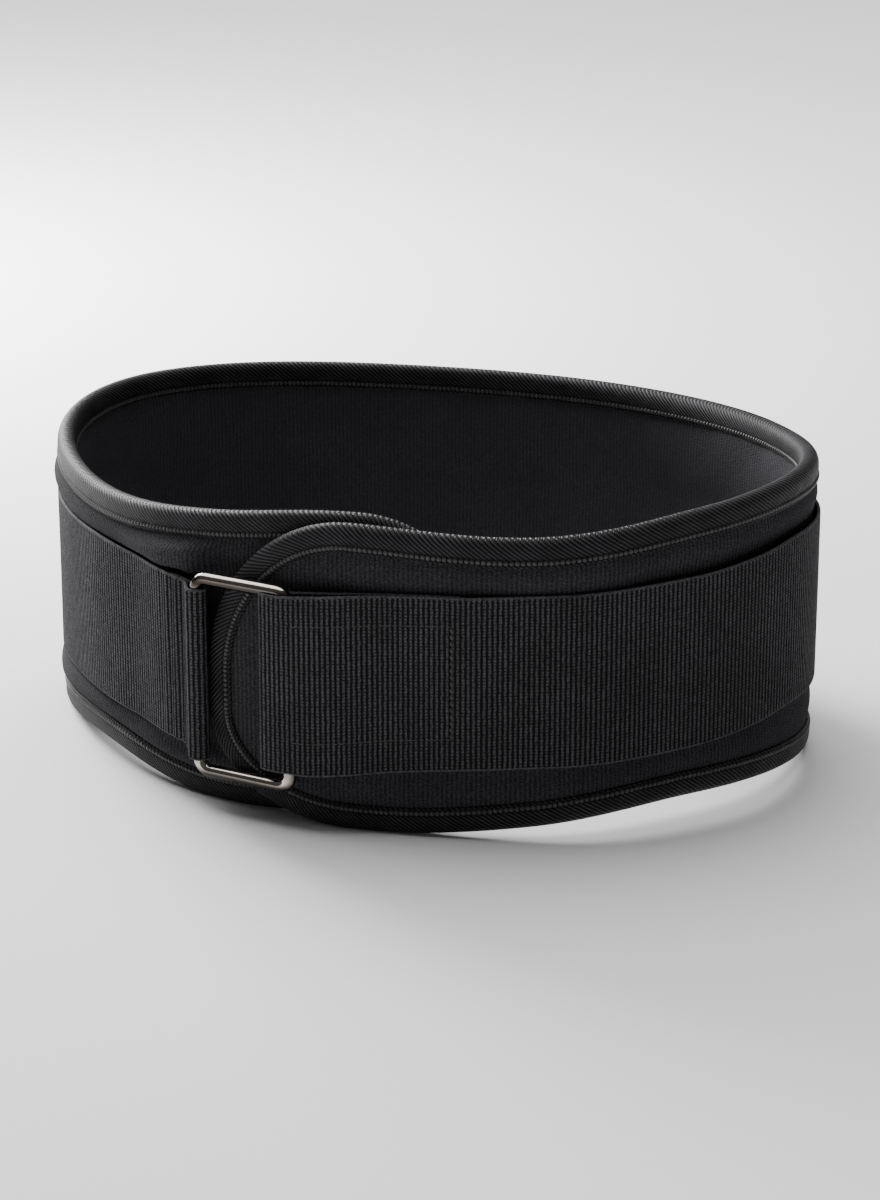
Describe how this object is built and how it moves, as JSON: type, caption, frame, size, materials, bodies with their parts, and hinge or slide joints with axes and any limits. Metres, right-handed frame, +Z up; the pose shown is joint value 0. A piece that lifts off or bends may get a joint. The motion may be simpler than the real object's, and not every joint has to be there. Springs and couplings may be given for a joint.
{
  "type": "weightlifting belt",
  "caption": "Padded fabric lifting belt closed round an empty waist: foam-cored panel with tape-bound edge and lapped round ends, ribbed support strap and wire ring.",
  "frame": {"origin": "on the surface that the belt stands on, under the middle of the whole belt", "axes": "+Z up, -Y towards the front where the ring is, +X to the viewer's right when the front is looked at"},
  "size_m": [0.3532, 0.2854, 0.1338],
  "materials": {
    "panel_fabric": "black knitted lining fabric over foam, matt, with a faint nap",
    "binding_tape": "black diagonal twill tape with a stitch row, soft sheen",
    "webbing": "black heavy webbing with upright ribs, soft sheen",
    "ring_metal": "polished nickel-plated steel wire"
  },
  "bodies": {
    "root": {"belt_panel": "panel_fabric", "edge_binding": "binding_tape", "support_strap": "webbing", "buckle_ring": "ring_metal"}
  },
  "joints": []
}
